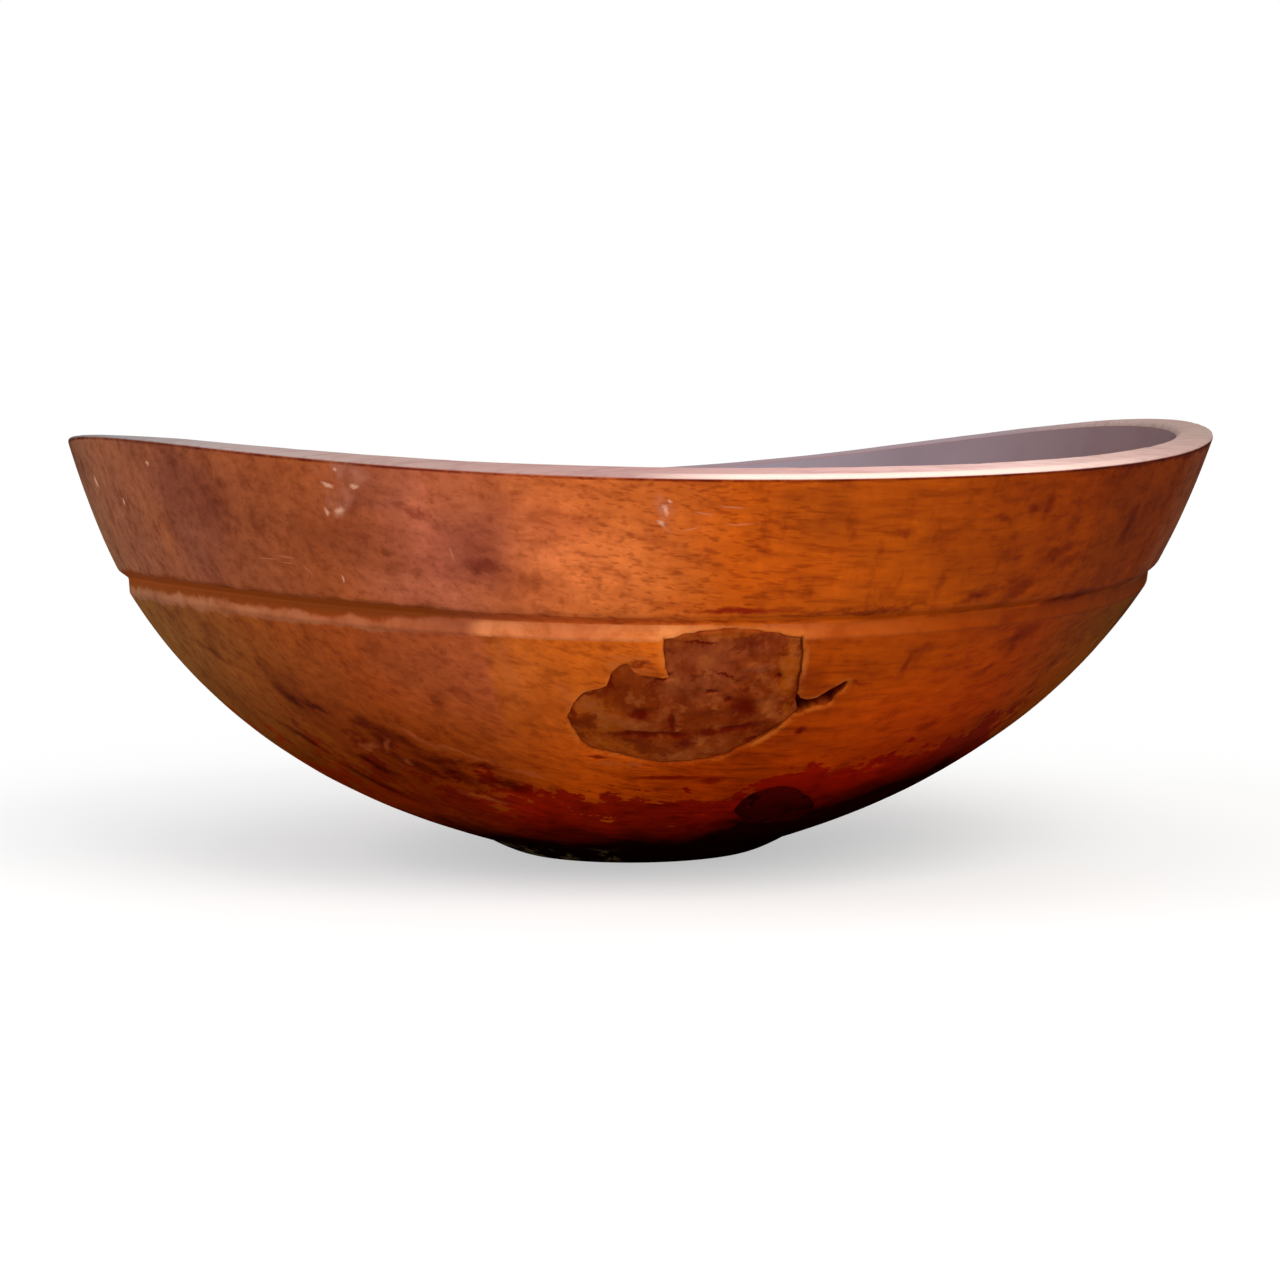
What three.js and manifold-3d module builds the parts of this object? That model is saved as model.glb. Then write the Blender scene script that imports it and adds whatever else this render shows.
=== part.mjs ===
// A large wooden salad bowl, turned from one blank, that has dried out of round.
// Millimetres, +Z up. X runs along the grain. The origin is on the table, under the middle of the rim.

import * as THREE from 'three';
import { mergeVertices } from 'three/addons/utils/BufferGeometryUtils.js';
import Module from 'manifold-3d';

const wasm = await Module();
wasm.setup();

const { degToRad } = THREE.MathUtils;

// The turned shape, as it came off the lathe
const rimRadius = 216;
const rimHeight = 149.2;
const rimWidth = 13.2;
const rimFall = 2.3;
const rimSoftness = 1.2;
const collarHeight = 44.3;
const collarFlare = degToRad(22.9);
const collarBulge = 1;
const ledgeWidth = 3.6;
const ledgeDrop = 2.4;
const filletHeight = 5.4;
const filletFlare = degToRad(5);
const footRadius = 59;
const footHeight = 6.3;
const footFlat = 43;
const footSoftness = { outShare: 0.35, upShare: 0.1 };
const bodySlopeAtFoot = degToRad(17.2);
const bodySlopeAtFillet = degToRad(56.9);
const bodyFootPullShare = 0.255;
const bodyFilletPullShare = 0.41;
const wallThickness = 13;
const floorThickness = 17;
const floorReachShare = 0.3;
const floorAxisPullShare = 0.5;
const floorWallPullShare = 0.3;
const insideFloorPullShare = 0.38;
const insideRimPullShare = 0.4;

// How it dried: it shrank across the grain, its rim rose and curled up at the two ends of the grain,
// and its foot crept away from the middle
const crossShrink = 0.91;
const saddleRise = 9.4;
const cornerRise = 1.1;
const endRise = 5.9;
const endRiseEaseShare = 0.1;
const rimCurl = 1.3;
const footDrift = 4.2;
const driftAngle = degToRad(-23.2);

// The two dead knots. Each lies at an angle round the bowl and a share of the way up the body, and
// faces outwards and down by its dip. Its edge is drawn on that face, anticlockwise, as seen from outside:
// across to the right, and up the slope.
const knotDepth = 5;
const knotFit = 0.3;
const knotOverrun = 8;
const largeKnot = {
  angle: degToRad(-107),
  share: 0.85,
  dip: degToRad(40),
  sink: 0.8,
  arch: { left: [-8.3, 26.5], crown: [12, 32], right: [34.5, 24.4] },
  edge: [
    [-7, 12], [-22, 11], [-33.5, 3.5], [-36.5, -7], [-28.5, -22.5],
    [-2, -30.5], [18, -26.5], [34, -12.5], [37, 3],
  ],
};
const smallKnot = {
  angle: degToRad(-86),
  share: 0.42,
  dip: degToRad(62),
  sink: 0.6,
  edge: [[-17, -2], [-8, -13], [6, -19], [18, -17], [16, -4], [3, 11], [-8, 18], [-17, 13]],
};

// How finely the round forms are drawn
const turnSegments = 64;
const bodySteps = 12;
const collarSteps = 4;
const insideSteps = 10;
const floorSteps = 6;
const edgeSteps = 3;
const knotSteps = 24;

const at = (radius, height) => new THREE.Vector2(radius, height);
const along = (angle) => new THREE.Vector2(Math.cos(angle), Math.sin(angle));

const foot = at(footRadius, footHeight);
const collarFoot = at(rimRadius - collarHeight * Math.tan(collarFlare), rimHeight - collarHeight);
const filletTop = at(collarFoot.x - ledgeWidth, collarFoot.y - ledgeDrop);
const filletFoot = at(filletTop.x - filletHeight * Math.tan(filletFlare), filletTop.y - filletHeight);
const rimOuter = at(rimRadius, rimHeight);
const rimInner = at(rimRadius - rimWidth, rimHeight + rimFall);

// The collar's curve bulges half as far from its chord as its control point does
const collarOutward = at(Math.cos(collarFlare), -Math.sin(collarFlare));
const collar = new THREE.QuadraticBezierCurve(
  collarFoot,
  collarFoot.clone().lerp(rimOuter, 0.5).addScaledVector(collarOutward, 2 * collarBulge),
  rimOuter,
);

const footSide = new THREE.QuadraticBezierCurve(
  at(footFlat, 0),
  at(footFlat + footSoftness.outShare * (footRadius - footFlat), footSoftness.upShare * footHeight),
  foot,
);

const bodyChord = foot.distanceTo(filletFoot);
const body = new THREE.CubicBezierCurve(
  foot,
  foot.clone().addScaledVector(along(bodySlopeAtFoot), bodyFootPullShare * bodyChord),
  filletFoot.clone().addScaledVector(along(bodySlopeAtFillet), -bodyFilletPullShare * bodyChord),
  filletFoot,
);

// A point a given depth into the wood under the body, at a share of the way up it
function underBody(share, depth) {
  const tangent = body.getTangent(share);
  return body.getPoint(share).add(at(-tangent.y, tangent.x).multiplyScalar(depth));
}

// The edge between two flats of the rim, softened by the same amount on both sides
function softEdge(before, corner, after) {
  const from = corner.clone().addScaledVector(before.clone().sub(corner).normalize(), rimSoftness);
  const to = corner.clone().addScaledVector(after.clone().sub(corner).normalize(), rimSoftness);
  return new THREE.QuadraticBezierCurve(from, corner, to).getPoints(edgeSteps);
}

function insideCurves() {
  const joint = underBody(floorReachShare, wallThickness);
  const slope = body.getTangent(floorReachShare);
  const flare = at(Math.sin(collarFlare), Math.cos(collarFlare));
  const chord = joint.distanceTo(rimInner);
  const rimPull = rimInner.clone().addScaledVector(flare, -insideRimPullShare * chord);
  const side = new THREE.CubicBezierCurve(
    rimInner,
    rimPull,
    joint.clone().addScaledVector(slope, insideFloorPullShare * chord),
    joint,
  );
  const floor = new THREE.CubicBezierCurve(
    joint,
    joint.clone().addScaledVector(slope, -floorWallPullShare * joint.x),
    at(floorAxisPullShare * joint.x, floorThickness),
    at(0, floorThickness),
  );
  return { rimPull, side, floor };
}

// The whole section: out under the foot, up the outside, over the rim and back down inside
function bowlOutline() {
  const { rimPull, side, floor } = insideCurves();
  return [
    at(0, 0),
    ...footSide.getPoints(edgeSteps),
    ...body.getPoints(bodySteps).slice(1),
    filletTop,
    ...collar.getPoints(collarSteps).slice(0, -1),
    ...softEdge(collar.v1, rimOuter, rimInner),
    ...softEdge(rimOuter, rimInner, rimPull),
    ...side.getPoints(insideSteps).slice(1),
    ...floor.getPoints(floorSteps).slice(1),
  ];
}

// A skin of wood under the body, between two depths, that runs on past the fillet
function skinOutline(outerDepth, innerDepth) {
  const shares = Array.from({ length: bodySteps + 1 }, (_, step) => step / bodySteps);
  const overrun = along(bodySlopeAtFillet).multiplyScalar(knotOverrun);
  const outer = shares.map((share) => underBody(share, outerDepth));
  const inner = shares.map((share) => underBody(share, innerDepth));
  outer.push(outer.at(-1).clone().add(overrun));
  inner.push(inner.at(-1).clone().add(overrun));
  return [...outer, ...inner.reverse(), outer[0].clone()];
}

function turn(outline) {
  return new THREE.LatheGeometry(outline, turnSegments).rotateX(Math.PI / 2);
}

// Where a point of the turned form went as the blank dried
function dried(x, y, z) {
  const angle = Math.atan2(y, x);
  const reach = Math.max(0, Math.hypot(x, y) - footFlat) / (rimRadius - footFlat);
  const saddle = saddleRise * reach ** 2 * Math.cos(2 * angle);
  const corners = cornerRise * reach ** 4 * Math.cos(4 * angle);
  const end = endRise * (Math.hypot(reach, endRiseEaseShare) - endRiseEaseShare) * Math.cos(angle);
  const overRim = Math.max(0, Math.hypot(x, y) - rimRadius + rimWidth) / rimWidth;
  const curl = rimCurl * overRim * Math.cos(angle) ** 2;
  const drift = footDrift * (z / rimHeight - 1);
  return new THREE.Vector3(
    x + drift * Math.cos(driftAngle),
    crossShrink * y + drift * Math.sin(driftAngle),
    z + saddle + corners + end + curl,
  );
}

function dry(geometry) {
  const place = geometry.attributes.position;
  for (let i = 0; i < place.count; i++) {
    place.setXYZ(i, ...dried(place.getX(i), place.getY(i), place.getZ(i)));
  }
  return geometry;
}

function solidOf(geometry) {
  geometry.deleteAttribute('normal');
  geometry.deleteAttribute('uv');
  const merged = mergeVertices(geometry);
  const corners = merged.index.array;
  const faces = [];
  for (let i = 0; i < corners.length; i += 3) {
    const [a, b, c] = corners.slice(i, i + 3);
    if (a !== b && b !== c && c !== a) faces.push(a, b, c);
  }
  return new wasm.Manifold(new wasm.Mesh({
    numProp: 3,
    vertProperties: new Float32Array(merged.attributes.position.array),
    triVerts: new Uint32Array(faces),
  }));
}

// Moves each point of a closed outline straight out from it, or in where the distance is negative
function grown(outline, distance) {
  return outline.map((point, i) => {
    const before = outline.at(i - 1);
    const after = outline[(i + 1) % outline.length];
    const run = after.clone().sub(before).normalize();
    return at(point.x + run.y * distance, point.y - run.x * distance);
  });
}

function loopThrough(corners) {
  const loop = new THREE.CatmullRomCurve3(
    corners.map(([across, up]) => new THREE.Vector3(across, up, 0)),
    true,
  );
  return loop.getSpacedPoints(knotSteps).slice(0, -1).map((point) => at(point.x, point.y));
}

// The large knot's top is an arch between two sharp corners. The rest of its edge is a smooth curve.
function archedLoop({ left, crown, right }, corners) {
  const arch = new THREE.QuadraticBezierCurve(at(...right), at(...crown), at(...left));
  const edge = new THREE.SplineCurve([left, ...corners, right].map((corner) => at(...corner)));
  return [...arch.getPoints(2 * edgeSteps), ...edge.getSpacedPoints(knotSteps).slice(1, -1)];
}

// A straight bar with the knot's outline, square to the knot's face, that goes right through the skin
function knotBar({ angle, share, dip }, outline) {
  const reach = wallThickness + knotOverrun;
  const bar = new THREE.ExtrudeGeometry(new THREE.Shape(outline), {
    depth: 2 * reach,
    bevelEnabled: false,
    steps: 1,
  });
  const { x: radius, y: height } = body.getPoint(share);
  const centre = dried(radius * Math.cos(angle), radius * Math.sin(angle), height);
  const across = new THREE.Vector3(-Math.sin(angle), Math.cos(angle), 0);
  const outward = new THREE.Vector3(
    Math.cos(angle) * Math.cos(dip),
    Math.sin(angle) * Math.cos(dip),
    -Math.sin(dip),
  );
  const up = outward.clone().cross(across);
  const place = new THREE.Matrix4()
    .makeBasis(across, up, outward)
    .setPosition(centre.addScaledVector(outward, -reach));
  return solidOf(bar.applyMatrix4(place));
}

// A knot and the pocket that it sits in, with the fit between them
function knotAndPocket(knot, outline) {
  const pocketSkin = solidOf(dry(turn(skinOutline(-knotOverrun, knotDepth))));
  const knotSkin = solidOf(dry(turn(skinOutline(knot.sink, knotDepth - knotFit))));
  return {
    pocket: pocketSkin.intersect(knotBar(knot, outline)),
    knot: knotSkin.intersect(knotBar(knot, grown(outline, -knotFit))),
  };
}

function meshOf(name, solid, finish) {
  const { vertProperties, triVerts } = solid.getMesh();
  const geometry = new THREE.BufferGeometry();
  geometry.setAttribute('position', new THREE.BufferAttribute(new Float32Array(vertProperties), 3));
  geometry.setIndex(new THREE.BufferAttribute(new Uint32Array(triVerts), 1));
  geometry.computeVertexNormals();
  const mesh = new THREE.Mesh(geometry, new THREE.MeshStandardMaterial(finish));
  mesh.name = name;
  return mesh;
}

const large = knotAndPocket(largeKnot, archedLoop(largeKnot.arch, largeKnot.edge));
const small = knotAndPocket(smallKnot, loopThrough(smallKnot.edge));
const bowl = solidOf(dry(turn(bowlOutline()))).subtract(large.pocket).subtract(small.pocket);

const woodenBowl = new THREE.Group();
woodenBowl.add(
  meshOf('turned_bowl', bowl, { color: 0x9c4a20, roughness: 0.42, metalness: 0 }),
  meshOf('large_knot', large.knot, { color: 0x5a3018, roughness: 0.7, metalness: 0 }),
  meshOf('small_knot', small.knot, { color: 0x3c1c10, roughness: 0.7, metalness: 0 }),
);

export default woodenBowl;
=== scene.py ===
# A large wooden salad bowl, turned from one blank, with two dead knots in the front of its wall.
# Metres, +Z up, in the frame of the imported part. X runs along the grain.

from functools import partial
from math import cos, pi, radians, sin, tan

import bpy
import numpy as np
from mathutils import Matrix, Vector


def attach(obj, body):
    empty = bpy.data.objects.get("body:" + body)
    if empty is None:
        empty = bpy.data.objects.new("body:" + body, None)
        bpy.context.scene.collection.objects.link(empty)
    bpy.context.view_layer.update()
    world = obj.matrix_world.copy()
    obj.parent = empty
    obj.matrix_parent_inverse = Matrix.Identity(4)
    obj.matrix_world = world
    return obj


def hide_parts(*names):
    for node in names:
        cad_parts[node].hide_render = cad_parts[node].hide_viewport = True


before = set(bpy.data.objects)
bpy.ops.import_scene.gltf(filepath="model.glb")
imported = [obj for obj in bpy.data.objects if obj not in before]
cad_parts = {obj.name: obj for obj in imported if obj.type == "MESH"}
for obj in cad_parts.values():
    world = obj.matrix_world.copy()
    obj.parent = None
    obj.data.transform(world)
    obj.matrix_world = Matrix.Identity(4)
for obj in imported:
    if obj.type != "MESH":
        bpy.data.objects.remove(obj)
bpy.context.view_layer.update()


# The turned bowl
# Foot, body, fillet, collar and rim are one piece of hardwood, turned on a lathe and oiled.
# The blank dried after turning, so the bowl is oval, with its rim raised at the grain's two ends.

rim_radius = 0.216
rim_height = 0.1492
rim_width = 0.0132
rim_fall = 0.0023
rim_dome = 0.0003
rim_softness = 0.0012
inner_rim_softness = 0.0018
collar_height = 0.0443
collar_flare = radians(22.9)
collar_bulge = 0.001
ledge_width = 0.0036
ledge_drop = 0.0024
ledge_softness = 0.0012
fillet_height = 0.0054
fillet_flare = radians(5)
fillet_softness = 0.0006
foot_radius = 0.059
foot_height = 0.0063
foot_flat = 0.043
foot_softness_out_share = 0.35
foot_softness_up_share = 0.1
body_slope_at_foot = radians(17.2)
body_slope_at_fillet = radians(56.9)
body_foot_pull_share = 0.255
body_fillet_pull_share = 0.41
wall_thickness = 0.013
floor_thickness = 0.017
floor_reach_share = 0.3
floor_axis_pull_share = 0.5
floor_wall_pull_share = 0.3
inside_floor_pull_share = 0.38
inside_rim_pull_share = 0.4

# How it dried: it shrank across the grain, its rim rose and curled up at the two ends of the grain,
# and its foot crept away from the middle
cross_shrink = 0.91
saddle_rise = 0.0094
corner_rise = 0.0011
end_rise = 0.0059
end_rise_ease_share = 0.1
rim_curl = 0.0013
foot_drift = 0.0042
drift_angle = radians(-23.2)

# The side of the bowl that shows best, as the angle round it from +X
front_angle = radians(-113.2)

# How many columns of points stand round the bowl, how much denser they stand in front and over the
# knots than behind, and where the knots lie, as a turn from the front
bowl_columns = 432
front_density = 1.6
knots_density = 6
knots_turn = radians(14)
knots_spread = 0.47

# Shares of the body's curve: where its rows of points begin to stand closer, where they end, where
# the fillet's softened corner looks back to, and a step that is small enough to give the slope
low_body_share = 0.2
body_end_share = 0.995
near_fillet_share = 0.99
slope_step_share = 0.001

# The waves that the turner's tool left, as (height, distance apart, seed), and the wear of the rim's and
# the ledge's edges, which are worn only where random lumps rise above a threshold
hand_turned_waves = [(0.00016, 0.034, 1), (0.00006, 0.011, 2)]
wear_depth = 0.0004
rim_wear_size = 0.007
rim_wear_threshold = 0.35
ledge_wear_size = 0.006
ledge_wear_threshold = 0.3


def at(radius, height):
    """A point of the section."""
    return np.array([radius, height])


def along(slope):
    """The direction that climbs outwards at a slope."""
    return np.array([cos(slope), sin(slope)])


def bezier(controls, share):
    """Bezier curve of any degree: neighbours are mixed by the share, over and over, until one is left."""
    level = [np.asarray(control, float)[None] for control in controls]
    while len(level) > 1:
        level = [a + (b - a) * share[:, None] for a, b in zip(level, level[1:])]
    return level[0]


def straight(start, end, steps):
    """Evenly spaced points of a straight line, both ends left out."""
    return bezier([start, end], np.arange(1, steps) / steps)


def soft_edge(before, corner, after, softness, steps=5):
    """A corner softened by a quadratic Bezier between the two points one softness away from it."""
    start = corner + softness * (before - corner) / np.linalg.norm(before - corner)
    end = corner + softness * (after - corner) / np.linalg.norm(after - corner)
    return bezier([start, corner, end], np.linspace(0, 1, steps))


foot = at(foot_radius, foot_height)
rim_outer = at(rim_radius, rim_height)
rim_inner = at(rim_radius - rim_width, rim_height + rim_fall)
collar_foot = at(rim_radius - collar_height * tan(collar_flare), rim_height - collar_height)
collar_outward = at(cos(collar_flare), -sin(collar_flare))
collar_control = (collar_foot + rim_outer) / 2 + 2 * collar_bulge * collar_outward
fillet_top = at(collar_foot[0] - ledge_width, collar_foot[1] - ledge_drop)
fillet_foot = at(fillet_top[0] - fillet_height * tan(fillet_flare), fillet_top[1] - fillet_height)
body_chord = np.linalg.norm(fillet_foot - foot)
body_controls = [
    foot,
    foot + body_foot_pull_share * body_chord * along(body_slope_at_foot),
    fillet_foot - body_fillet_pull_share * body_chord * along(body_slope_at_fillet),
    fillet_foot,
]


def body_curve(share):
    """Points of the body's outer curve as turned, a cubic Bezier from the foot to the fillet."""
    return bezier(body_controls, np.atleast_1d(share))


def bowl_section():
    """The bowl's section as turned, from the middle of the foot up the outside, over the rim and
    down to the middle of the floor, as (name, points) runs of lines and Bezier curves. Points stand
    closer where the skin bends."""
    foot_pull = at(
        foot_flat + foot_softness_out_share * (foot_radius - foot_flat),
        foot_softness_up_share * foot_height,
    )
    reached, beyond = body_curve([floor_reach_share, floor_reach_share + slope_step_share])
    slope = (beyond - reached) / np.linalg.norm(beyond - reached)
    joint = reached + wall_thickness * at(-slope[1], slope[0])
    inside_chord = np.linalg.norm(joint - rim_inner)
    rim_pull = rim_inner - inside_rim_pull_share * inside_chord * at(sin(collar_flare), cos(collar_flare))
    rim_control = (rim_outer + rim_inner) / 2 + at(0, 2 * rim_dome)
    side_controls = [rim_inner, rim_pull, joint + inside_floor_pull_share * inside_chord * slope, joint]
    floor_controls = [
        joint,
        joint - floor_wall_pull_share * joint[0] * slope,
        at(floor_axis_pull_share * joint[0], floor_thickness),
        at(0, floor_thickness),
    ]
    arris = soft_edge(collar_control, rim_outer, rim_control, rim_softness, steps=6)
    rim_curve = [rim_outer, rim_control, rim_inner]

    # Where the rows of points stand on the long curves, as shares of each
    foot_rows = np.linspace(0, 1, 7)
    low_body_rows = np.linspace(0, low_body_share, 14)[1:]
    high_body_rows = np.linspace(low_body_share, body_end_share, 112)[1:]
    collar_rows = np.append(np.linspace(0.04, 0.93, 17), 0.965)
    rim_edge_rows = np.array([0.12, 0.22])
    rim_rows = np.linspace(0.32, 0.84, 6)
    side_rows = np.append([0.012, 0.022], np.linspace(0.045, 1, 23))
    floor_rows = np.linspace(0, 0.93, 8)[1:]
    return [
        ("foot", straight(at(0, 0), at(foot_flat, 0), steps=4)),
        ("foot", bezier([at(foot_flat, 0), foot_pull, foot], foot_rows)),
        ("body", body_curve(np.append(low_body_rows, high_body_rows))),
        ("fillet", soft_edge(body_curve(near_fillet_share)[0], fillet_foot, fillet_top, fillet_softness)),
        ("fillet", straight(fillet_foot, fillet_top, steps=6)),
        ("corner", soft_edge(fillet_foot, fillet_top, collar_foot, fillet_softness)),
        ("corner", straight(fillet_top, collar_foot, steps=4)),
        ("edge", soft_edge(fillet_top, collar_foot, collar_control, ledge_softness)),
        ("collar", bezier([collar_foot, collar_control, rim_outer], collar_rows)),
        ("shadow", arris[:2]),
        ("worn edge", arris[2:]),
        ("worn edge", bezier(rim_curve, rim_edge_rows)),
        ("rim", bezier(rim_curve, rim_rows)),
        ("inner arris", soft_edge(rim_control, rim_inner, rim_pull, inner_rim_softness)),
        ("inside", bezier(side_controls, side_rows)),
        ("inside", bezier(floor_controls, floor_rows)),
    ]


def dried(points):
    """Where the turned points went as the blank dried: the saddle and the lift of the ends grow with
    the distance from the foot, the rim's edge curls up at the ends, the width across the grain
    shrinks, and the foot creeps sideways."""
    x, y, z = np.moveaxis(points, -1, 0)
    angle = np.arctan2(y, x)
    reach = np.maximum(0, np.hypot(x, y) - foot_flat) / (rim_radius - foot_flat)
    over_rim = np.maximum(0, np.hypot(x, y) - rim_radius + rim_width) / rim_width
    rise = (
        saddle_rise * reach**2 * np.cos(2 * angle)
        + corner_rise * reach**4 * np.cos(4 * angle)
        + end_rise * (np.hypot(reach, end_rise_ease_share) - end_rise_ease_share) * np.cos(angle)
        + rim_curl * over_rim * np.cos(angle) ** 2
    )
    drift = foot_drift * (z / rim_height - 1)
    return np.stack(
        [x + drift * cos(drift_angle), cross_shrink * y + drift * sin(drift_angle), z + rise], axis=-1
    )


def turned_from_dried(points, rounds=8):
    """The turned place of a dried point, found by undoing the drift and the rise a few times over."""
    turned = np.array(points, float)
    for _ in range(rounds):
        turned = turned + (points - dried(turned)) / [1, cross_shrink, 1]
    return turned


def lumps(points, size, seed, lattice=64):
    """Smooth random lumps about one size apart, from -1 to 1: random heights on a cubic lattice,
    blended along an S-curve between its corners."""
    heights = np.random.default_rng(seed).uniform(-1, 1, (lattice,) * 3)
    place = points / size
    cell = np.floor(place).astype(int)
    share = place - cell
    share = share * share * (3 - 2 * share)
    total = np.zeros(points.shape[:-1])
    for corner in np.ndindex(2, 2, 2):
        weight = np.prod(np.where(corner, share, 1 - share), axis=-1)
        total += weight * heights[tuple(np.moveaxis((cell + corner) % lattice, -1, 0))]
    return total


def waves_of(points, waves):
    """The sum of lumps, given as (height, size, seed)."""
    return sum(height * lumps(points, size, seed) for height, size, seed in waves)


def eased(value, low, high):
    """0 below low, 1 above high, and an S-curve between them."""
    share = np.clip((value - low) / (high - low), 0, 1)
    return share * share * (3 - 2 * share)


def column_angles(density_steps=4001):
    """Angles round the bowl: equal shares of a running density that is low round the back, higher in
    front and highest over the knots."""
    turn = np.linspace(-pi, pi, density_steps)
    over_knots = np.exp(-(((turn - knots_turn) / knots_spread) ** 4))
    density = np.cumsum(1 + front_density * (1 + np.cos(turn)) + knots_density * over_knots)
    share = (np.arange(bowl_columns) + 0.5) / bowl_columns
    return front_angle + np.interp(share, density / density[-1], turn)


def surface_normals(grid):
    """Unit normals of a grid that closes round its columns: the cross product of the steps to the
    neighbours round and along."""
    around = np.roll(grid, -1, axis=1) - np.roll(grid, 1, axis=1)
    upward = np.gradient(grid, axis=0)
    normal = np.cross(around, upward)
    return normal / np.linalg.norm(normal, axis=-1, keepdims=True)


def placed(name, data):
    """A new object in the scene, at the origin and unturned."""
    made = bpy.data.objects.new(name, data)
    bpy.context.scene.collection.objects.link(made)
    return made


def closed_piece(name, start, grid, end, sharp=radians(34)):
    """A closed skin: rows of points that run round, joined row to row by four-sided faces, and closed
    at each end by a fan of triangles to one point. Edges that turn by more than sharp look sharp."""
    rows, columns, _ = grid.shape
    points = np.concatenate([[start], grid.reshape(-1, 3), [end]])
    here = 1 + np.arange(rows * columns).reshape(rows, columns)
    beside = np.roll(here, -1, axis=1)
    first, last = np.zeros(columns, int), np.full(columns, len(points) - 1)
    quads = np.stack([here[:-1], beside[:-1], beside[1:], here[1:]], axis=-1).reshape(-1, 4)
    fans = [np.stack([first, beside[0], here[0]], -1), np.stack([here[-1], beside[-1], last], -1)]
    mesh = bpy.data.meshes.new(name)
    mesh.from_pydata(points.tolist(), [], [*fans[0].tolist(), *quads.tolist(), *fans[1].tolist()])
    mesh.shade_smooth()
    mesh.set_sharp_from_angle(angle=sharp)
    return placed(name, mesh)


def paint_points(piece, name, values):
    """Keeps a vector for each point of a piece, for its material to read."""
    values = np.concatenate([values[:1, 0], values.reshape(-1, 3), values[-1:, 0]])
    layer = piece.data.attributes.new(name, "FLOAT_VECTOR", "POINT")
    layer.data.foreach_set("vector", values.astype(np.float32).ravel())


# Outlines and marks are drawn in millimetres
mm = 0.001

# Where the two knots lie: an angle round the bowl, a share of the way up the body, and the dip of
# the face that they are drawn on. Outlines are on that face, across to the right and up the slope.
large_knot = {"angle": radians(-107), "share": 0.85, "dip": radians(40)}
small_knot = {"angle": radians(-86), "share": 0.42, "dip": radians(62)}

large_knot_edge = mm * np.array([
    [36.9, 13], [36.6, 0.5], [37.3, -8.3], [33, -14], [25.8, -20.7], [19, -24.8], [14.4, -28.9],
    [-1.9, -30.6], [-16.4, -26.7], [-28.7, -22.6], [-35.1, -12.2], [-36.4, -5.9], [-32.5, 3],
    [-25.8, 7.2], [-23.3, 13.8], [-19.5, 16.9], [-17.4, 13.3], [-11, 11.8], [-6.2, 11], [-8, 19.2],
    [-8.2, 26.7], [-8.2, 26.7], [2.7, 28.9], [13.7, 28.9], [26.6, 26.9], [35.6, 24.4], [35.6, 24.4],
])
crack_edge = mm * np.array([
    [34, 1], [38, -1.5], [42.3, -3], [47, -0.3], [52.7, 2.8], [53, 1.2], [50.4, -2.4], [47.8, -6],
    [42.5, -7], [37.3, -9.3], [32, -12],
])
small_knot_edge = mm * np.array([
    [-17, -2], [-8, -13], [6, -19], [18, -17], [16, -4], [3, 11], [-8, 18], [-17, 13],
])

# The pockets: how torn their outlines are, how deep they are and how wide their walls and their
# rounded lips, from how far points are gathered to the edge, and how wide the masks' edges are
tear_depth = 0.0004
tear_size = 0.0026
pocket_depth = 0.0042
pocket_wall = 0.0004
pocket_lip = 0.0005
pocket_lip_width = 0.0016
gather_width = 0.0017
pocket_blur = 0.0002
lip_reach = 0.004

# Which points a pocket can reach: near its outline, near its face, and on skin that looks its way
edge_margin = 0.006
face_margin = 0.03
least_facing = 0.5


def knot_face(knot):
    """The middle of a knot's face on the dried body, and its directions across, up and outwards."""
    radius, height = body_curve(knot["share"])[0]
    angle, dip = knot["angle"], knot["dip"]
    middle = dried(np.array([radius * cos(angle), radius * sin(angle), height]))
    across = np.array([-sin(angle), cos(angle), 0])
    outward = np.array([cos(angle) * cos(dip), sin(angle) * cos(dip), -sin(dip)])
    return middle, np.stack([across, np.cross(outward, across), outward])


def smooth_loop(corners, steps=10):
    """A closed Catmull-Rom curve through the corners, where a corner given twice stays sharp, pushed
    about a little by lumps, as torn wood is."""
    before, after, beyond = (np.roll(corners, shift, axis=0) for shift in (1, -1, -2))
    share = (np.arange(steps) / steps)[:, None, None]
    loop = 0.5 * (
        2 * corners
        + (after - before) * share
        + (2 * before - 5 * corners + 4 * after - beyond) * share**2
        + (3 * corners - before - 3 * after + beyond) * share**3
    )
    loop = np.swapaxes(loop, 0, 1).reshape(-1, 2)
    place = np.concatenate([loop, 0 * loop[:, :1]], axis=-1)
    return loop + tear_depth * np.stack([lumps(place, tear_size, seed) for seed in (41, 42)], axis=-1)


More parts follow.
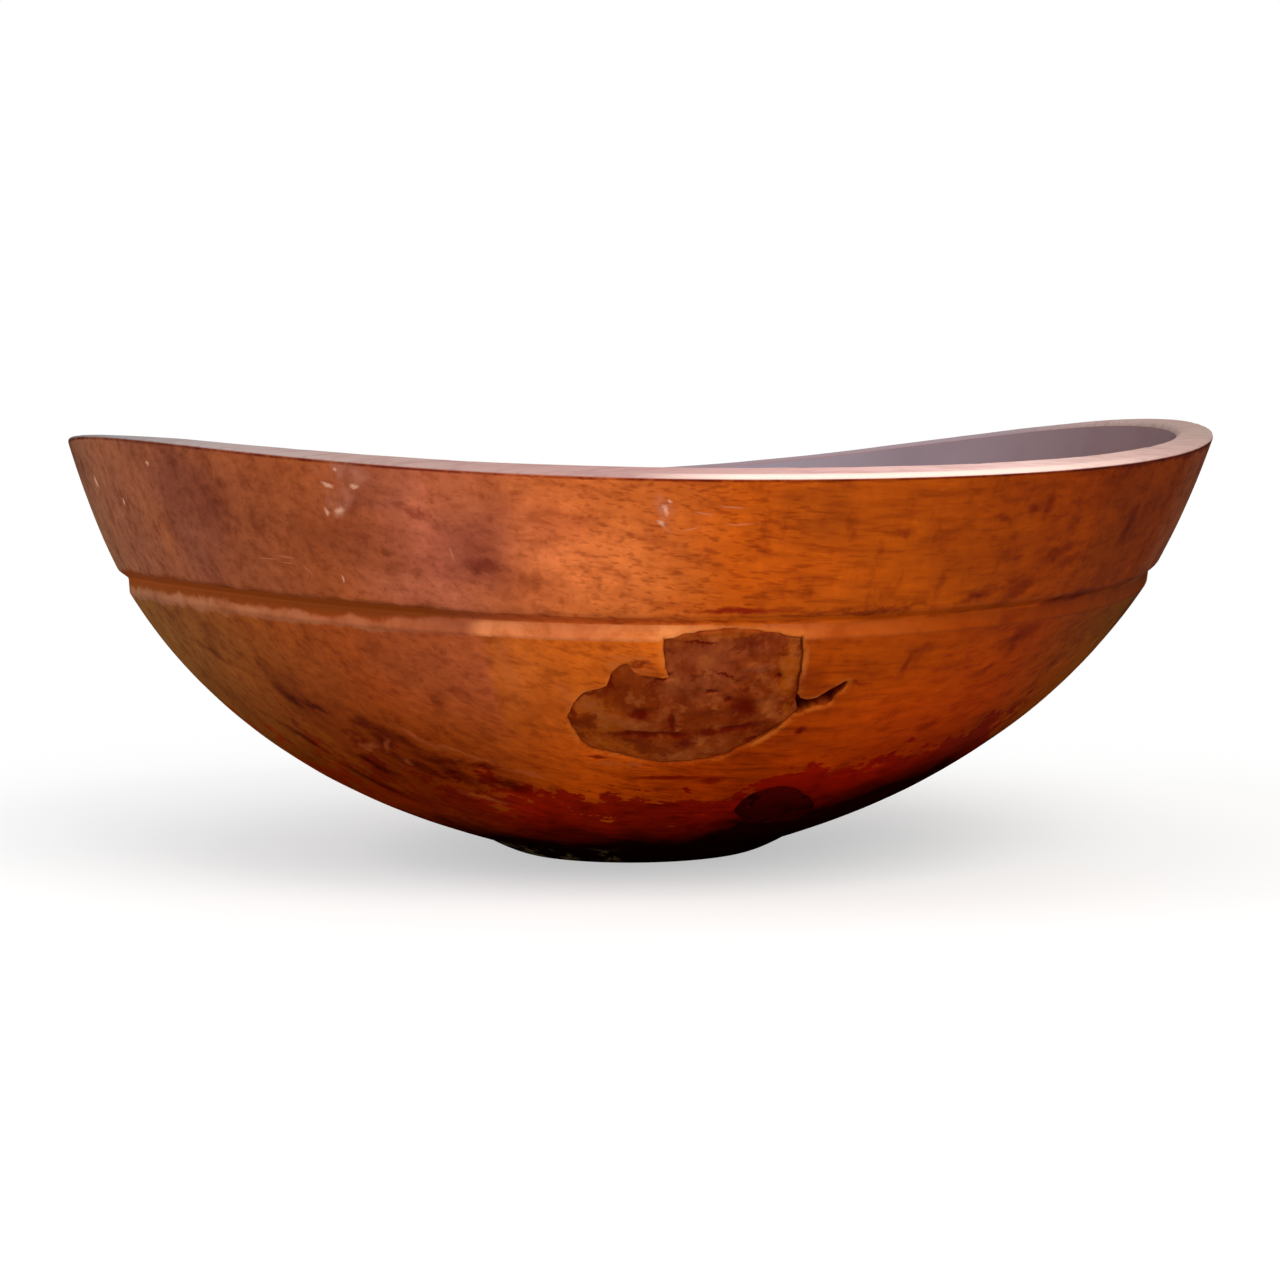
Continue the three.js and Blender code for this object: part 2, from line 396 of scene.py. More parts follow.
def away_from(places, loop, smallest=1e-9, smallest_square=1e-16):
    """Signed distance of flat places from a closed loop, below zero inside it, and the unit direction
    straight away from its edge. The nearest point is sought on every side of the loop, and a place is
    inside where a ray from it crosses the loop an odd number of times."""
    start, end = loop, np.roll(loop, -1, axis=0)
    run = end - start
    square = np.maximum((run**2).sum(-1), smallest_square)
    share = np.einsum("psk,sk->ps", places[:, None] - start, run) / square
    offset = places[:, None] - (start + np.clip(share, 0, 1)[..., None] * run)
    nearest = np.argmin((offset**2).sum(-1), axis=1)
    offset = offset[np.arange(len(places)), nearest]
    distance = np.linalg.norm(offset, axis=-1)
    above = places[:, None, 1] < np.stack([start[:, 1], end[:, 1]])[:, None]
    with np.errstate(divide="ignore", invalid="ignore"):
        crossing = start[:, 0] + (places[:, None, 1] - start[:, 1]) * run[:, 0] / run[:, 1]
    inside = ((above[0] != above[1]) & (places[:, None, 0] < crossing)).sum(1) % 2 == 1
    sign = np.where(inside, -1, 1)
    return sign * distance, sign[:, None] * offset / np.maximum(distance, smallest)[:, None]


def cut_pocket(grid, normals, knot, loop):
    """Sinks the part of the bowl's skin that lies inside a loop on a knot's face. Points near the loop
    are first drawn towards it, so that the pocket's edge is clean, and its lip is rounded over.
    Returns the new grid and two masks: the pocket, and the pocket with a soft margin round it."""
    middle, axes = knot_face(knot)
    flat = (grid - middle) @ axes.T
    reach = np.abs(loop).max() + edge_margin
    near = (np.abs(flat[..., :2]).max(-1) < reach) & (np.abs(flat[..., 2]) < face_margin)
    near &= (normals @ axes[2]) > least_facing
    distance, away = away_from(flat[near][:, :2], loop)
    pulled = np.where(np.abs(distance) < gather_width, distance * np.abs(distance) / gather_width, distance)
    shift = (pulled - distance)[:, None] * away @ axes[:2]
    shift -= (shift * normals[near]).sum(-1, keepdims=True) * normals[near]
    wall = eased(-pulled, 0, pocket_wall)
    lip = np.where(pulled > 0, np.maximum(0, 1 - pulled / pocket_lip_width) ** 2, 1)
    sunk = grid.copy()
    sunk[near] += shift - (pocket_depth * wall + pocket_lip * lip)[:, None] * axes[2]
    inside, edge = np.zeros(grid.shape[:2]), np.zeros(grid.shape[:2])
    inside[near] = eased(-pulled, -pocket_blur, pocket_blur)
    edge[near] = np.where(pulled > 0, np.maximum(0, 1 - pulled / lip_reach), 1)
    return sunk, inside, edge


def turned_bowl_grid():
    """The bowl's section carried round its axis, dried, worn and cut for the knots. Returns the grid
    of points and the vectors that the wood's finish reads."""
    runs = bowl_section()
    section = np.concatenate([points for _, points in runs])
    part = np.concatenate([[name] * len(points) for name, points in runs])
    angles = column_angles()
    radius, height = section[:, :1], section[:, 1:]
    whole = np.ones((len(section), len(angles)))
    turned = np.stack([radius * np.cos(angles), radius * np.sin(angles), height * whole], axis=-1)
    grid = dried(turned)
    normals = surface_normals(grid)

    def rows(*names):
        return np.isin(part, names)[:, None] * whole

    rim_wear = np.maximum(0, lumps(turned, rim_wear_size, seed=5) - rim_wear_threshold)
    ledge_wear = np.maximum(0, lumps(turned, ledge_wear_size, seed=6) - ledge_wear_threshold)
    worn = wear_depth * (rows("shadow", "worn edge", "inner arris") * rim_wear + rows("edge") * ledge_wear)
    hand_turned = (1 - rows("foot")) * waves_of(turned, hand_turned_waves)
    grid = grid + (hand_turned - worn)[..., None] * normals

    nothing = 0 * whole
    pocket, lip = nothing, nothing
    cuts = ((large_knot, large_knot_edge), (large_knot, crack_edge), (small_knot, small_knot_edge))
    for knot, edge in cuts:
        grid, inside, beside = cut_pocket(grid, normals, knot, smooth_loop(edge))
        pocket, lip = np.maximum(pocket, inside), np.maximum(lip, beside)

    # How far each point lies to the right and to the front, its place on the skin laid out flat as a
    # sheet, and masks of its part of the section
    offset = (angles - front_angle) * whole
    vectors = {
        "round_place": [np.sin(offset), np.cos(offset), nothing],
        "sheet": [rim_radius * offset, nothing, turned[..., 2]],
        "zones": [rows("worn edge", "rim", "inner arris"), rows("inside"), rows("fillet")],
        "use": [rows("worn edge"), rows("corner"), lip],
        "pocket": [pocket, nothing, rows("shadow")],
    }
    return grid, {name: np.stack(parts, -1) for name, parts in vectors.items()}


bowl_grid, bowl_vectors = turned_bowl_grid()
foot_middle = dried(np.array([0.0, 0, 0]))
floor_middle = dried(np.array([0.0, 0, floor_thickness]))
turned_bowl = closed_piece("bowl", foot_middle, bowl_grid, floor_middle)
for vector_name, vectors in bowl_vectors.items():
    paint_points(turned_bowl, vector_name, vectors)


def seen(red, green, blue):
    """A colour as it looks, from 0 to 255 a channel, in the linear values that a shader takes."""
    share = np.array([red, green, blue]) / 255
    linear = np.where(share <= 0.04045, share / 12.92, ((share + 0.055) / 1.055) ** 2.4)
    return (*linear, 1.0)


def feed(tree, made, inputs):
    """Gives a node its inputs, each a value or the output that feeds it."""
    for socket, value in inputs.items():
        if isinstance(value, bpy.types.NodeSocket):
            tree.links.new(value, made.inputs[socket])
        else:
            made.inputs[socket].default_value = value


def node(tree, kind, inputs=None, **settings):
    """A shader node with its settings and its inputs."""
    made = tree.nodes.new(kind)
    for name, value in settings.items():
        setattr(made, name, value)
    feed(tree, made, inputs or {})
    return made


def mixed(tree, share, under, over, blend="MIX"):
    """One colour over another, by a share."""
    made = node(tree, "ShaderNodeMix", {0: share, 6: under, 7: over}, data_type="RGBA", blend_type=blend)
    return made.outputs[2]


def ramp(tree, share, stops):
    """A colour that runs through stops of (place, red, green, blue) as the share goes from 0 to 1."""
    made = node(tree, "ShaderNodeValToRGB", {0: share})
    while len(made.color_ramp.elements) < len(stops):
        made.color_ramp.elements.new(0.5)
    for element, (place, *colour) in zip(made.color_ramp.elements, stops):
        element.position = place
        element.color = seen(*colour)
    return made.outputs["Color"]


def ranged(tree, value, low, high, to_low=0.0, to_high=1.0):
    """A value moved from the range low to high to another range, and kept inside it."""
    made = node(tree, "ShaderNodeMapRange", {0: value, 1: low, 2: high, 3: to_low, 4: to_high})
    return made.outputs[0]


def sums(tree, operation, first, second):
    """Arithmetic on two numbers."""
    return node(tree, "ShaderNodeMath", {0: first, 1: second}, operation=operation).outputs[0]


def product(tree, first, *others):
    """Numbers multiplied together."""
    for other in others:
        first = sums(tree, "MULTIPLY", first, other)
    return first


def vector_sums(tree, operation, *inputs):
    """The outputs of arithmetic on vectors."""
    return node(tree, "ShaderNodeVectorMath", dict(enumerate(inputs)), operation=operation).outputs


def bumps(tree, relief, strength, distance):
    """The normal of a surface with a fine relief."""
    inputs = {"Strength": strength, "Distance": distance, "Height": relief}
    return node(tree, "ShaderNodeBump", inputs).outputs[0]


def new_material(name):
    """A material with a plain surface shader, its node tree, and that shader."""
    made = bpy.data.materials.new(name)
    made.use_nodes = True
    tree = made.node_tree
    tree.nodes.clear()
    shader = node(tree, "ShaderNodeBsdfPrincipled")
    output = node(tree, "ShaderNodeOutputMaterial", {"Surface": shader.outputs[0]})
    output.name = "surface"
    return made, tree, shader


def wood_figure_group():
    """The figure of old hardwood, in real size. Clouds are patches of darker and lighter heartwood a few
    centimetres wide. Flecks are short streaks along X where the rays are cut through. Mottle is rounder
    blotches under a centimetre wide. Pores are thin dashes along X. Grime is ragged, with fine detail."""
    group = bpy.data.node_groups.new("wood_figure", "ShaderNodeTree")
    face = group.interface
    face.new_socket("Place", in_out="INPUT", socket_type="NodeSocketVector")
    face.new_socket("Shift", in_out="INPUT", socket_type="NodeSocketFloat")
    given = node(group, "NodeGroupInput").outputs
    moved = vector_sums(group, "ADD", given["Place"], given["Shift"])[0]
    figures = {
        "Clouds": ((0.5, 1, 1), {"Scale": 26.0, "Detail": 3.0, "Roughness": 0.55}),
        "Flecks": ((0.2, 1, 1), {"Scale": 300.0, "Detail": 2.0, "Roughness": 0.6}),
        "Mottle": ((1, 1, 0.5), {"Scale": 120.0, "Detail": 4.0, "Roughness": 0.62}),
        "Pores": ((0.12, 1, 1), {"Scale": 760.0, "Detail": 1.5, "Roughness": 0.6}),
        "Grime": ((1, 1, 1), {"Scale": 95.0, "Detail": 5.0, "Roughness": 0.68}),
    }
    for figure in figures:
        face.new_socket(figure, in_out="OUTPUT", socket_type="NodeSocketFloat")
    result = node(group, "NodeGroupOutput")
    for figure, (stretch, values) in figures.items():
        place = node(group, "ShaderNodeMapping", {"Vector": moved, "Scale": stretch}).outputs[0]
        noise = node(group, "ShaderNodeTexNoise", {"Vector": place, **values})
        group.links.new(noise.outputs["Fac"], result.inputs[figure])
    return group


def spot_group():
    """A soft-edged spot: the place is measured from the spot's middle, turned by its tilt and divided
    by its spread, and the mask falls from 1 to 0 as the length of that passes 1."""
    group = bpy.data.node_groups.new("spot", "ShaderNodeTree")
    face = group.interface
    kinds = {"Place": "Vector", "Middle": "Vector", "Spread": "Vector", "Tilt": "Float", "Blur": "Float"}
    for name, kind in kinds.items():
        face.new_socket(name, in_out="INPUT", socket_type="NodeSocket" + kind)
    face.new_socket("Mask", in_out="OUTPUT", socket_type="NodeSocketFloat")
    given = node(group, "NodeGroupInput").outputs
    offset = vector_sums(group, "SUBTRACT", given["Place"], given["Middle"])[0]
    turn = {"Vector": offset, "Angle": given["Tilt"]}
    turned = node(group, "ShaderNodeVectorRotate", turn, rotation_type="Y_AXIS").outputs[0]
    share = vector_sums(group, "DIVIDE", turned, given["Spread"])[0]
    length = vector_sums(group, "LENGTH", share)["Value"]
    near = sums(group, "SUBTRACT", 1.0, given["Blur"])
    far = sums(group, "ADD", 1.0, given["Blur"])
    mask = node(
        group, "ShaderNodeMapRange", {0: length, 1: far, 2: near, 3: 0.0, 4: 1.0},
        interpolation_type="SMOOTHSTEP",
    )
    result = node(group, "NodeGroupOutput")
    group.links.new(mask.outputs[0], result.inputs["Mask"])
    return group


wood_figure = wood_figure_group()
spot = spot_group()


def figure_of(tree, shift):
    """The wood figure's outputs, on Object coordinates, and those coordinates."""
    place = node(tree, "ShaderNodeTexCoord").outputs["Object"]
    inputs = {"Place": place, "Shift": shift}
    return place, node(tree, "ShaderNodeGroup", inputs, node_tree=wood_figure).outputs


def ragged(tree, place, sheet, size, amount, roughness=0.6):
    """The place on the sheet, pushed about by noise of a given size, so that what is drawn on it gets
    a ragged edge."""
    inputs = {"Vector": place, "Scale": 1 / size, "Detail": 4.0, "Roughness": roughness}
    noise = node(tree, "ShaderNodeTexNoise", inputs).outputs["Color"]
    centred = vector_sums(tree, "SUBTRACT", noise, (0.5, 0.5, 0.5))[0]
    return vector_sums(tree, "MULTIPLY_ADD", centred, (amount, 0, amount), sheet)[0]


def spots(tree, sheet, marks, blur):
    """The union of spots given as (across, height, half width, half height, tilt in degrees), in mm."""
    union = None
    for across, height, half_width, half_height, tilt in marks:
        values = {
            "Place": sheet, "Middle": (mm * across, 0, mm * height), "Tilt": radians(tilt),
            "Spread": (mm * half_width, 1, mm * half_height), "Blur": blur,
        }
        mask = node(tree, "ShaderNodeGroup", values, node_tree=spot).outputs["Mask"]
        union = mask if union is None else sums(tree, "MAXIMUM", union, mask)
    return union


def vector_of(tree, name):
    """A vector kept on a piece's points, whole and in its three parts."""
    kept = node(tree, "ShaderNodeAttribute", attribute_name=name).outputs["Vector"]
    return kept, node(tree, "ShaderNodeSeparateXYZ", {0: kept}).outputs


def height_of(tree, sheet):
    """The height of a place on the sheet."""
    return node(tree, "ShaderNodeSeparateXYZ", {0: sheet}).outputs["Z"]


# What time has left on the front, and some painted sheen and painted shade, as (across, height, half width,
# half height, tilt) in mm and degrees
pale_chips = [
    (-242, 135, 1.2, 1.4, 0), (-186, 141, 1.0, 0.7, 0), (-217, 127.6, 0.8, 0.8, 0),
    (-101.6, 133.6, 0.9, 1.0, 0), (-96.4, 133.8, 1.6, 0.9, 0), (-89.6, 141.4, 1.2, 0.7, 20),
    (-99.6, 140.6, 1.5, 0.6, 0), (-95, 146, 1.0, 0.5, 0), (13.4, 141.4, 0.7, 0.5, -20),
    (11.8, 138.4, 0.5, 1.7, 20), (10.4, 134.4, 1.2, 0.6, -12), (-101, 113, 0.5, 0.5, 0),
]
scuffs = [(-96, 138, 4.6, 4.2, 0), (-97, 133.4, 2.2, 1.8, 0), (-92, 145, 10, 3, 0), (12, 138, 2.2, 5, 18)]
scratches = [
    (-133, 115.9, 3.6, 0.16, 2), (-124, 117.1, 3.0, 0.2, -3), (-124, 115.2, 2.2, 0.14, 0),
    (-115.6, 113.6, 2.0, 0.2, -36), (-58, 122.6, 0.3, 2.0, 14), (24, 138, 2.6, 0.25, -8),
    (33, 140, 3.6, 0.25, -4), (36, 134.6, 4.0, 0.2, 2), (20, 133, 2.4, 0.2, 12),
]
# The long thin dent just above the ledge's corner, at 105.8 mm, is a painted shadow line along the corner
dents = [
    (91, 130.6, 4, 1.5, 0), (150, 137.5, 2.6, 3.0, 20), (144, 136, 3, 1.4, 0), (165, 121, 9, 2.2, 18),
    (172, 117.6, 5, 2.0, 10), (151, 109.6, 8, 2.4, 16), (147, 112.6, 3, 2.2, 0), (111, 85.5, 1.4, 3.8, -12),
    (156, 81, 3.6, 1.4, 12), (147, 59.4, 5.6, 2.0, 16), (76.5, 63.2, 1.6, 1.5, 0), (93, 79.8, 5.5, 0.7, -6),
    (-69, 134.6, 5.6, 1.3, -24), (-47, 119, 7, 1.6, 0), (-199, 79.4, 11, 1.6, -14), (205, 128, 3, 6, -16),
    (192, 103, 8, 3, 10), (178, 101, 12, 3, 10), (88, 105.8, 24, 0.9, 0), (131, 134, 5, 1.6, 0),
    (150, 98, 9, 2.4, 14), (168, 93, 8, 3, 20), (131, 108, 7, 1.6, 10),
]
smears = [
    (-126, 61, 6, 2.4, -8), (-118, 58.6, 8, 2.6, -22), (-109, 55.5, 6, 2.2, -26), (-122, 56, 4, 3.4, 30),
    (-163, 68, 5, 3.0, -34), (-150, 65, 7, 1.4, -14), (-146, 44, 12, 2.4, -20), (-112, 45, 12, 2.6, -16),
    (-97, 49, 12, 2.4, -4), (-92, 43, 11, 3.2, -14), (-74, 47.6, 9, 1.4, 0), (-66, 41, 10, 2.8, -8),
    (-168, 36, 12, 3, -24), (-186, 52, 8, 2.4, -30), (5.6, 88.8, 2.2, 1.3, 0),
]
# The last red line, just above the ledge's corner, is a painted shadow line along the corner
red_lines = [
    (20, 45.1, 19, 0.8, 0), (44, 43.8, 6, 1.6, 0), (-14, 54, 4.2, 0.7, 0), (19, 52.2, 4.6, 0.8, 0),
    (76, 63, 1.7, 1.7, 0), (38, 106.5, 14, 0.9, 0),
]
mottled = [(-140, 48, 40, 14, -20), (-88, 43, 30, 9, -10)]
light_streaks = [
    (-99, 57.4, 8, 0.9, -24), (-80, 52.4, 14, 0.8, -9), (-136, 51.6, 7, 1.0, 6), (-122, 53, 5, 0.8, 30),
    (-44.4, 87, 2.0, 9, 4), (-52, 46, 10, 0.8, -6), (-88, 34, 12, 0.8, -8), (-118, 47.6, 2, 1.4, 0),
    (-8, 51.4, 7, 0.7, 0), (3, 50.6, 4, 0.8, 0), (4, 86.2, 6, 1.0, 0), (-4.6, 88.4, 2.4, 1.4, 20),
    (1, 91, 8, 0.8, -6), (-24, 78, 2.2, 4, 30), (67.4, 86, 0.9, 8, 0),
]
clouded = [
    (-168, 127, 17, 25, 0), (-81, 143, 15, 6.5, 0), (-46, 127, 11, 15, 10), (200, 124, 22, 24, 0),
    (62, 140, 12, 8, 0),
]
# Patches of painted sheen
sheen_patches = [
    (-66, 124, 10, 17, 14), (-80, 110, 13, 5, 0), (-8, 124, 26, 14, -12), (20, 93, 22, 6, 0),
    (-44, 84, 10, 11, 0), (84, 86, 4, 8, 0),
]


def bowl_wood():
    """Oiled hardwood, laid on in this order: the wood's own colour from the left end of the grain to the
    browner right one, with painted grey sheen at the left end and at the far right and painted light low on
    the right, the deeper orange of the body, red-brown painted shade under the body with a ragged upper
    edge and near-black painted shade at the foot, the figure of the wood, painted sheen on the front, a
    painted highlight on the fillet, the pale rim with a painted highlight on its worn edge, the mauve-grey
    inside, painted shade and light along the ledge and in the pockets, and last the marks of use."""
    made, tree, shader = new_material("oiled_bowl_wood")
    place, figure = figure_of(tree, 0.0)
    _, (side, front, _) = vector_of(tree, "round_place")
    sheet, (across, _, height) = vector_of(tree, "sheet")
    _, (rim, inside, fillet) = vector_of(tree, "zones")
    _, (worn_edge, ledge_rows, lip) = vector_of(tree, "use")
    _, (pocket, _, under_rim) = vector_of(tree, "pocket")
    part, times = partial(ranged, tree), partial(product, tree)
    plus, minus = partial(sums, tree, "ADD"), partial(sums, tree, "SUBTRACT")
    around = part(side, -1.0, 1.0)
    outside = part(plus(rim, inside), 0.1, 0.0)
    in_front = times(outside, part(front, 0.05, 0.2))

    fine_sheet = ragged(tree, place, sheet, size=0.004, amount=0.0026)
    rough_sheet = ragged(tree, place, sheet, size=0.009, amount=0.007)
    soft_sheet = ragged(tree, place, sheet, size=0.02, amount=0.022)
    torn_sheet = ragged(tree, place, sheet, size=0.022, amount=0.06, roughness=0.72)
    smear_sheet = ragged(tree, place, sheet, size=0.008, amount=0.009, roughness=0.68)
    rough_height = height_of(tree, rough_sheet)

    def over(mask, under, colour, strength=1.0):
        return mixed(tree, times(mask, strength), under, colour)

    def tinted(mask, under, tint, strength=1.0):
        return mixed(tree, times(mask, strength), under, (*tint, 1), "MULTIPLY")

    def marked(mask):
        return times(mask, in_front)

    def drawn(on_sheet, marks, blur):
        return marked(spots(tree, on_sheet, marks, blur))

    # The wood's own colour from the left end of the grain to the right one, deeper on the body, with a
    # painted grey sheen at the left end and at the far right
    wood = ramp(tree, around, [
        (0.0, 128, 90, 66), (0.06, 144, 84, 58), (0.16, 152, 80, 48), (0.26, 156, 77, 39),
        (0.37, 180, 94, 60), (0.46, 210, 108, 50), (0.5, 202, 102, 42), (0.58, 184, 81, 12),
        (0.64, 170, 73, 8), (0.72, 164, 70, 5), (0.84, 138, 53, 1), (0.945, 108, 40, 3),
        (1.0, 106, 42, 8),
    ])
    grey_sheen_right = times(part(around, 0.945, 0.975), part(front, -0.3, 0.2))
    wood = over(grey_sheen_right, wood, seen(112, 62, 42), 0.95)
    on_body = part(height, 0.1045, 0.0985)
    wood = tinted(on_body, wood, (1.02, 0.86, 0.3))
    olive_right = times(on_body, part(around, 0.86, 0.96), part(front, -0.4, 0.2, 0.3, 1.0))
    wood = over(olive_right, wood, seen(104, 62, 14), 0.6)
    # A painted pool of light on the body, to the right of the front
    painted_light_right = times(part(around, 0.64, 0.78), part(height, 0.09, 0.068))
    wood = tinted(painted_light_right, wood, (1.5, 1.36, 1))
    olive_left = times(on_body, part(around, 0.2, 0.04))
    wood = over(olive_left, wood, seen(128, 84, 44), 0.5)

    # Painted shade under the body: red-brown and darker towards the bottom, with an edge that rises to the
    # right and is patchy at the left, and near-black painted shade at the foot
    wood = tinted(part(height, 0.082, 0.04), wood, (0.92, 0.62, 0.2))
    right_rise = plus(part(side, 0.26, 0.46, 0.0, 0.012), part(side, 0.6, 0.84, 0.0, 0.014))
    left_rise = plus(part(side, -0.09, -0.45, 0.0, 0.008), part(side, 0.8, 0.95, 0.0, -0.016))
    foot_shade_edge = plus(right_rise, 0.035)
    far_left = marked(part(across, -0.04, -0.1))
    patches = times(minus(figure["Grime"], 0.5), part(far_left, 0.0, 1.0, 0.045, 0.14))
    underside_shade_edge = plus(plus(foot_shade_edge, left_rise), patches)
    under_edge = minus(underside_shade_edge, height_of(tree, torn_sheet))
    underside_shade = part(under_edge, -0.001, part(far_left, 0.0, 1.0, 0.002, 0.008))
    underside_shade_colour = ramp(tree, around, [
        (0.2, 146, 42, 6), (0.36, 158, 20, 4), (0.5, 140, 16, 3), (0.78, 156, 17, 3),
        (0.9, 112, 20, 4),
    ])
    wood = over(underside_shade, wood, underside_shade_colour, 0.92)
    foot_shade = part(minus(foot_shade_edge, height_of(tree, soft_sheet)), 0.01, 0.024)
    wood = over(foot_shade, wood, seen(26, 2, 1), 0.97)

    # The figure of the wood, each part of it darker at one end of its range and lighter at the other
    for name, low, high, tint, strength in (
        ("Clouds", 0.5, 0.66, (0.66, 0.54, 0.6), 0.7), ("Clouds", 0.48, 0.3, (1.2, 1.16, 1.05), 0.9),
        ("Flecks", 0.52, 0.66, (0.62, 0.5, 0.42), 0.5), ("Flecks", 0.48, 0.34, (1.24, 1.3, 1.34), 0.5),
        ("Mottle", 0.54, 0.68, (0.6, 0.46, 0.4), 0.6), ("Mottle", 0.46, 0.32, (1.2, 1.26, 1.34), 0.65),
        ("Pores", 0.56, 0.7, (0.6, 0.5, 0.5), 0.4),
    ):
        wood = tinted(part(figure[name], low, high), wood, tint, strength)
    curl = times(part(around, 0.42, 0.5), part(around, 0.7, 0.62), part(figure["Pores"], 0.52, 0.62))
    wood = tinted(marked(curl), wood, (0.62, 0.46, 0.34), 0.45)

    # Clouded places, painted sheen, smears, lines and dents on the front
    wood = tinted(drawn(soft_sheet, clouded, 0.45), wood, (0.78, 0.78, 1.0), 0.75)
    wood = tinted(drawn(soft_sheet, sheen_patches, 0.6), wood, (1.26, 1.36, 1.7), 0.8)
    left_of_edge = times(on_body, part(across, -0.0495, -0.053), part(across, -0.16, -0.1))
    left_of_edge = times(left_of_edge, part(height, 0.058, 0.074))
    wood = tinted(marked(left_of_edge), wood, (1.06, 1.04, 2.1), 0.9)
    patchy = times(drawn(soft_sheet, mottled, 0.8), part(figure["Grime"], 0.5, 0.58))
    wood = over(patchy, wood, seen(98, 22, 4), 0.6)
    wood = tinted(drawn(smear_sheet, smears, 0.8), wood, (0.34, 0.14, 0.12), 0.86)
    wood = over(drawn(fine_sheet, red_lines, 0.6), wood, seen(124, 12, 2), 0.85)
    wood = over(drawn(rough_sheet, light_streaks, 0.8), wood, seen(196, 100, 52), 0.4)
    wood = tinted(drawn(smear_sheet, dents, 0.75), wood, (0.5, 0.3, 0.3), 0.75)

    # A painted highlight on the fillet, which runs on under the ledge in a ragged band at the left end
    fillet_highlight = ramp(tree, part(across, -0.25, 0.25), [
        (0.0, 162, 106, 78), (0.2, 178, 106, 70), (0.34, 176, 98, 62), (0.384, 150, 76, 46),
        (0.398, 222, 134, 84), (0.47, 204, 112, 66), (0.53, 236, 146, 84), (0.6, 196, 98, 44),
        (0.66, 172, 78, 22), (0.74, 148, 60, 5), (0.84, 116, 42, 3), (1.0, 98, 38, 8),
    ])
    fillet_highlight = over(part(front, 0.3, 0.0), fillet_highlight, seen(136, 66, 30))
    fillet_highlight = tinted(part(figure["Grime"], 0.46, 0.64), fillet_highlight, (0.7, 0.6, 0.56), 0.8)
    left_end = marked(part(across, -0.045, -0.075))
    band_height = plus(height, times(left_end, minus(rough_height, height)))
    band_top = minus(part(across, -0.11, -0.02, 0.0997, 0.1032), band_height)
    band_foot = minus(band_height, part(across, -0.1, -0.04, 0.0948, 0.0966))
    band = sums(tree, "MAXIMUM", fillet, times(left_end, part(band_foot, 0.0, 0.0012)))
    band = times(band, part(band_top, 0.0, 0.0014))
    # Painted shade in the groove under the ledge at the left end
    ledge_shadow_left = times(left_end, part(band_top, 0.0012, -0.0006), part(rough_height, 0.1058, 0.1044))
    wood = over(marked(ledge_shadow_left), wood, seen(132, 58, 14), 0.9)
    wood = over(band, wood, fillet_highlight, part(figure["Grime"], 0.36, 0.62, 0.96, 0.66))

    # The rim, darker behind and with a painted highlight on its worn edge in front on the right, and the
    # inside
    rim_colour = ramp(tree, around, [
        (0.0, 104, 99, 98), (0.1, 136, 128, 128), (0.16, 150, 136, 134), (0.3, 158, 132, 126),
        (0.5, 164, 128, 124), (0.65, 194, 154, 150), (0.8, 206, 174, 168), (0.92, 178, 147, 140),
        (1.0, 154, 133, 126),
    ])
    rim_colour = tinted(part(figure["Flecks"], 0.48, 0.64), rim_colour, (0.78, 0.7, 0.7), 0.6)
    rim_colour = over(part(front, -0.3, -0.66), rim_colour, seen(132, 118, 126), 0.85)
    wood = over(rim, wood, rim_colour)
    rim_edge_highlight = times(worn_edge, part(front, 0.0, 0.3), part(around, 0.5, 0.58), part(around, 0.92, 0.76))
    wood = over(rim_edge_highlight, wood, seen(232, 206, 194), 0.9)
    inner = ramp(tree, around, [(0.0, 118, 108, 112), (0.55, 142, 132, 142), (1.0, 118, 94, 96)])
    inner = over(part(height, 0.11, 0.03), inner, seen(120, 86, 72))
    inner = tinted(part(figure["Clouds"], 0.46, 0.66), inner, (0.82, 0.76, 0.78), 0.5)
    wood = over(inside, wood, inner)

    # The painted shadow line in the ledge's corner and painted light on the ledge, painted highlights on
    # the pockets' lips, painted shade in the knots' pockets, and a darker line under the rim
    ledge_shadow_line = marked(times(ledge_rows, part(across, 0.03, 0.0)))
    wood = tinted(ledge_shadow_line, wood, (0.66, 0.44, 0.3), part(left_end, 0.0, 1.0, 0.7, 0.0))
    # Painted light on the ledge at the left end and just right of the front, lifting its own shade
    wood = over(times(ledge_rows, left_end), wood, seen(148, 68, 18), 0.85)
    painted_light_on_ledge = times(part(across, 0.1, 0.06), part(across, 0.0, 0.03, 0.0, 0.45))
    wood = tinted(ledge_rows, wood, (1.5, 1.6, 2), painted_light_on_ledge)
    # A painted highlight on the pockets' lips
    lip_highlight = times(part(lip, 0.4, 0.9), part(figure["Mottle"], 0.6, 0.42, 0.1, 0.6))
    wood = over(times(lip_highlight, part(height, 0.045, 0.055)), wood, seen(220, 120, 42))
    # Painted shade in the knots' pockets and in the split
    in_crack = part(across, 0.055, 0.063)
    wood = over(pocket, wood, mixed(tree, in_crack, seen(120, 36, 8), seen(88, 3, 0)))
    # A darker line and band just under the rim's outer edge
    rim_underline = times(under_rim, part(figure["Grime"], 0.4, 0.56, 0.45, 1.0))
    wood = tinted(rim_underline, wood, (0.3, 0.1, 0.12), 0.9)
    rim_underband = times(part(rough_height, 0.1462, 0.1474), part(around, 0.82, 0.88))
    wood = tinted(marked(rim_underband), wood, (0.5, 0.3, 0.3), 0.8)

